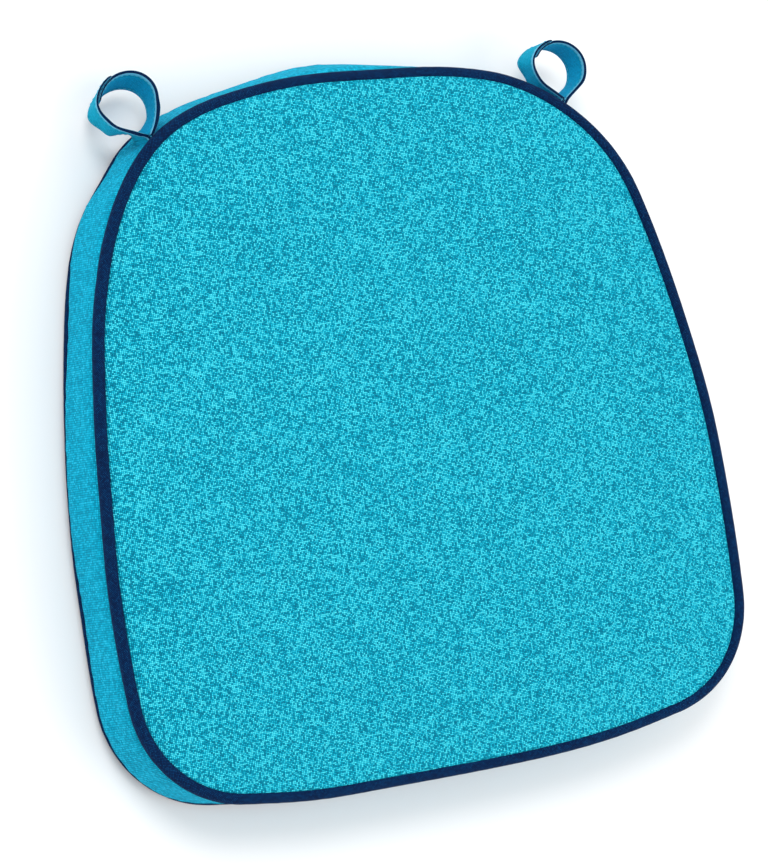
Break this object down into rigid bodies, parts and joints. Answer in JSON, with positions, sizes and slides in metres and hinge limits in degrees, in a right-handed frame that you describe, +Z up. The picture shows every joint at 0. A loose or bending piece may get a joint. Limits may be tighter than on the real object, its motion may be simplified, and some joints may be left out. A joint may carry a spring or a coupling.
{
  "type": "chair seat pad",
  "caption": "Piped box seat pad with a crowned woven cover over foam, a zip underneath and a touch-and-close post loop at each rear corner.",
  "frame": {"origin": "middle of the flat underside, on the surface that the pad rests on", "axes": "+Z up through the thickness, +Y towards the rear edge with the post loops, +X to the right of someone sitting and facing -Y"},
  "size_m": [0.4086, 0.4222, 0.0533],
  "materials": {
    "cover_face": "coarse basket weave, teal with pale and dark flecks",
    "cover_side": "finer side of the same teal weave",
    "piping": "navy bias-cut piping cloth",
    "tab_cloth": "teal cloth folded into a tab, edges top-stitched",
    "cord": "soft white cotton piping cord",
    "foam": "open-cell foam",
    "wadding": "white polyester wadding",
    "zip_tape": "woven zip tape",
    "zip_coil": "moulded nylon coil",
    "zip_metal": "plated zinc, satin",
    "fastener": "touch-and-close tape"
  },
  "bodies": {
    "pad": {"foam_core": "foam", "wadding": "wadding", "top_panel": "cover_face", "front_gusset": "cover_side", "rear_gusset": "cover_side", "upper_piping_cover": "piping", "upper_piping_cord": "cord", "lower_piping_cover": "piping", "lower_piping_cord": "cord", "bottom_panel_front": "cover_face", "bottom_panel_rear": "cover_face", "zip_tape_front": "zip_tape", "zip_tape_rear": "zip_tape", "zip_coil_front": "zip_coil", "zip_coil_rear": "zip_coil", "zip_stop_left": "zip_metal", "zip_stop_right": "zip_metal", "left_tab_root": "tab_cloth", "right_tab_root": "tab_cloth"},
    "zip_slider": {"zip_slider": "zip_metal"},
    "zip_pull": {"zip_pull": "zip_metal"},
    "left_outer_tab": {"left_outer_tab": "tab_cloth", "left_hook_patch": "fastener"},
    "left_inner_tab": {"left_inner_tab": "tab_cloth", "left_loop_patch": "fastener"},
    "right_outer_tab": {"right_outer_tab": "tab_cloth", "right_hook_patch": "fastener"},
    "right_inner_tab": {"right_inner_tab": "tab_cloth", "right_loop_patch": "fastener"}
  },
  "joints": [
    {"name": "zip_slide", "type": "slide", "parent": "pad", "child": "zip_slider", "axis": [1, 0, 0], "range_m": [0, 0.27]},
    {"name": "zip_pull_swing", "type": "hinge", "parent": "zip_slider", "child": "zip_pull", "pos_m": [-0.135, 0.1, 0.0022], "axis": [0, 1, 0], "range_deg": [0, 180]},
    {"name": "left_outer_open", "type": "hinge", "parent": "pad", "child": "left_outer_tab", "pos_m": [-0.13254, 0.17732, 0.031], "axis": [0, 0, 1], "range_deg": [0, 30]},
    {"name": "left_inner_open", "type": "hinge", "parent": "pad", "child": "left_inner_tab", "pos_m": [-0.13023, 0.17798, 0.031], "axis": [0, 0, 1], "range_deg": [-32, 0]},
    {"name": "right_outer_open", "type": "hinge", "parent": "pad", "child": "right_outer_tab", "pos_m": [0.13926, 0.17077, 0.031], "axis": [0, 0, 1], "range_deg": [0, 6]},
    {"name": "right_inner_open", "type": "hinge", "parent": "pad", "child": "right_inner_tab", "pos_m": [0.14166, 0.17073, 0.031], "axis": [0, 0, 1], "range_deg": [-40, 0]}
  ]
}
